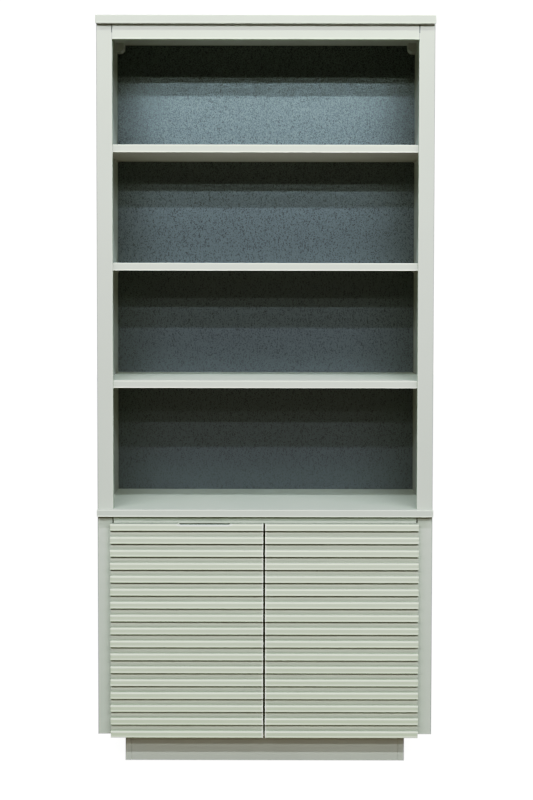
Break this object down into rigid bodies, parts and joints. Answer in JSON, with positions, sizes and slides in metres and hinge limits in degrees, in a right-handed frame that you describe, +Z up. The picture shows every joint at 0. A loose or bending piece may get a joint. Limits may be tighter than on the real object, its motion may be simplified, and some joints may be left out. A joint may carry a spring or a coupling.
{
  "type": "bookcase with cabinet doors",
  "caption": "Tall painted bookcase: open shelves with a dark back above a base cabinet, whose slatted doors hang on concealed hinges over a set-back plinth.",
  "frame": {"origin": "middle of the footprint on the floor, halfway between the slatted door faces and the rear", "axes": "+Z up, -Y out of the front (doors), +X to the right seen from the front"},
  "size_m": [0.9, 0.3786, 2.01],
  "materials": {
    "carcass_paint": "satin grey-green paint on board",
    "back_paint": "matt blue-grey paint over open grain",
    "screw_steel": "zinc plated",
    "hinge_nickel": "satin nickel plated",
    "bare_wood": "bare, unpainted",
    "bumper": "clear soft pad",
    "catch_plastic": "dark brown, moulded"
  },
  "bodies": {
    "carcass": {"cabinet_back_panel": "back_paint", "cabinet_back_screws": "screw_steel", "cabinet_bottom_panel": "carcass_paint", "cabinet_bottom_rail": "carcass_paint", "cabinet_corner_blocks": "bare_wood", "cabinet_shelf": "carcass_paint", "cabinet_shelf_pins": "hinge_nickel", "cabinet_side_left": "carcass_paint", "cabinet_side_right": "carcass_paint", "cabinet_stile_left": "carcass_paint", "cabinet_stile_right": "carcass_paint", "cabinet_top_board": "carcass_paint", "cabinet_top_rail": "carcass_paint", "catch_screws": "screw_steel", "corner_block_screws": "screw_steel", "door_bumpers": "bumper", "hutch_back_panel": "back_paint", "hutch_back_screws": "screw_steel", "hutch_corner_blocks": "carcass_paint", "hutch_dowels": "bare_wood", "hutch_shelf_lower": "carcass_paint", "hutch_shelf_middle": "carcass_paint", "hutch_shelf_pins": "hinge_nickel", "hutch_shelf_upper": "carcass_paint", "hutch_side_left": "carcass_paint", "hutch_side_right": "carcass_paint", "hutch_stile_left": "carcass_paint", "hutch_stile_right": "carcass_paint", "hutch_top_board": "carcass_paint", "hutch_top_rail": "carcass_paint", "left_hinge_arm_screws": "screw_steel", "left_hinge_arms": "hinge_nickel", "magnetic_catch": "catch_plastic", "plinth_back_board": "carcass_paint", "plinth_corner_blocks": "bare_wood", "plinth_front_board": "carcass_paint", "plinth_screws": "screw_steel", "plinth_side_left": "carcass_paint", "plinth_side_right": "carcass_paint", "right_hinge_arm_screws": "screw_steel", "right_hinge_arms": "hinge_nickel"},
    "left_door": {"left_door_panel": "carcass_paint", "left_door_slats": "carcass_paint", "left_hinge_cup_screws": "screw_steel", "left_hinge_cups": "hinge_nickel", "left_hinge_pins": "hinge_nickel", "left_strike_plate": "hinge_nickel"},
    "right_door": {"right_door_panel": "carcass_paint", "right_door_slats": "carcass_paint", "right_hinge_cup_screws": "screw_steel", "right_hinge_cups": "hinge_nickel", "right_hinge_pins": "hinge_nickel", "right_strike_plate": "hinge_nickel"}
  },
  "joints": [
    {"name": "left_door_hinge", "type": "hinge", "parent": "carcass", "child": "left_door", "pos_m": [-0.408, -0.16825, 0.372], "axis": [0, 0, -1], "range_deg": [0, 95]},
    {"name": "right_door_hinge", "type": "hinge", "parent": "carcass", "child": "right_door", "pos_m": [0.4054, -0.16825, 0.372], "axis": [0, 0, 1], "range_deg": [0, 95]}
  ]
}
